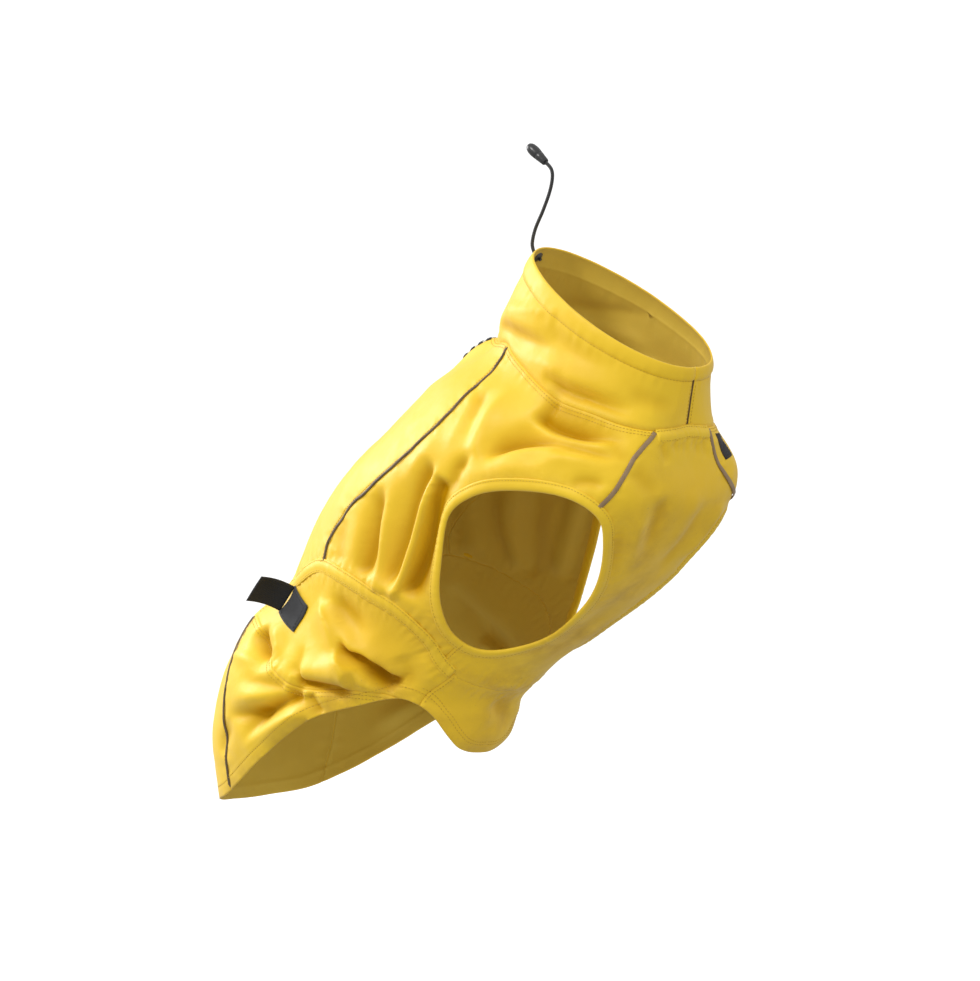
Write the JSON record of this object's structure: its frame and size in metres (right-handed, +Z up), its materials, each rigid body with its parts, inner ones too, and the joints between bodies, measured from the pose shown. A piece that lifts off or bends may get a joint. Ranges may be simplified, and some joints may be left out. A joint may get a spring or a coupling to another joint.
{
  "type": "dog raincoat",
  "caption": "Sleeveless dog raincoat in its worn shape: tall collar, leg holes, reflective seams, elastic waist with a tab, dipped rump hem and belly flap.",
  "frame": {"origin": "middle of the back of the collar seam, where the coat lies on the wearer's withers and is held", "axes": "-Y is forward, the way the coat faces; -X is the coat's right side; +Z is up"},
  "size_m": [0.2192, 0.5183, 0.574],
  "materials": {
    "coated_cloth": "smooth coated rain cloth with a soft satin sheen",
    "casing_cloth": "the same coated cloth, turned over elastic and stitched",
    "reflective_piping": "dull grey-brown reflective piping",
    "reflective_tape": "dull grey reflective tape",
    "hook_tape": "black hook tape, matt",
    "loop_tape": "dark grey loop tape, matt",
    "dark_binding": "dark stitched binding",
    "plain_label": "plain black woven label",
    "elastic_cord": "black braided elastic",
    "cord_end_plastic": "moulded black plastic, soft sheen",
    "eyelet_plastic": "dark moulded eyelet"
  },
  "bodies": {
    "root": {"armhole_band_left": "casing_cloth", "armhole_band_right": "casing_cloth", "back_panel": "coated_cloth", "back_piping_left": "reflective_piping", "back_piping_right": "reflective_piping", "belly_flap": "coated_cloth", "chest_panel": "coated_cloth", "chest_tape_left": "reflective_tape", "chest_tape_right": "reflective_tape", "chest_top_casing": "casing_cloth", "collar": "coated_cloth", "cord_bell": "cord_end_plastic", "cord_eyelet": "eyelet_plastic", "drawcord": "elastic_cord", "hip_panel_left": "coated_cloth", "hip_panel_right": "coated_cloth", "label_plain": "plain_label", "rump_panel": "coated_cloth", "rump_piping_left": "reflective_piping", "rump_piping_right": "reflective_piping", "side_panel_left": "coated_cloth", "side_panel_right": "coated_cloth", "slot_binding": "dark_binding", "tab_hook_flap": "hook_tape", "tab_loop_patch": "loop_tape", "thigh_panel_left": "coated_cloth", "thigh_panel_right": "coated_cloth", "waist_casing_left": "casing_cloth", "waist_casing_right": "casing_cloth"}
  },
  "joints": []
}
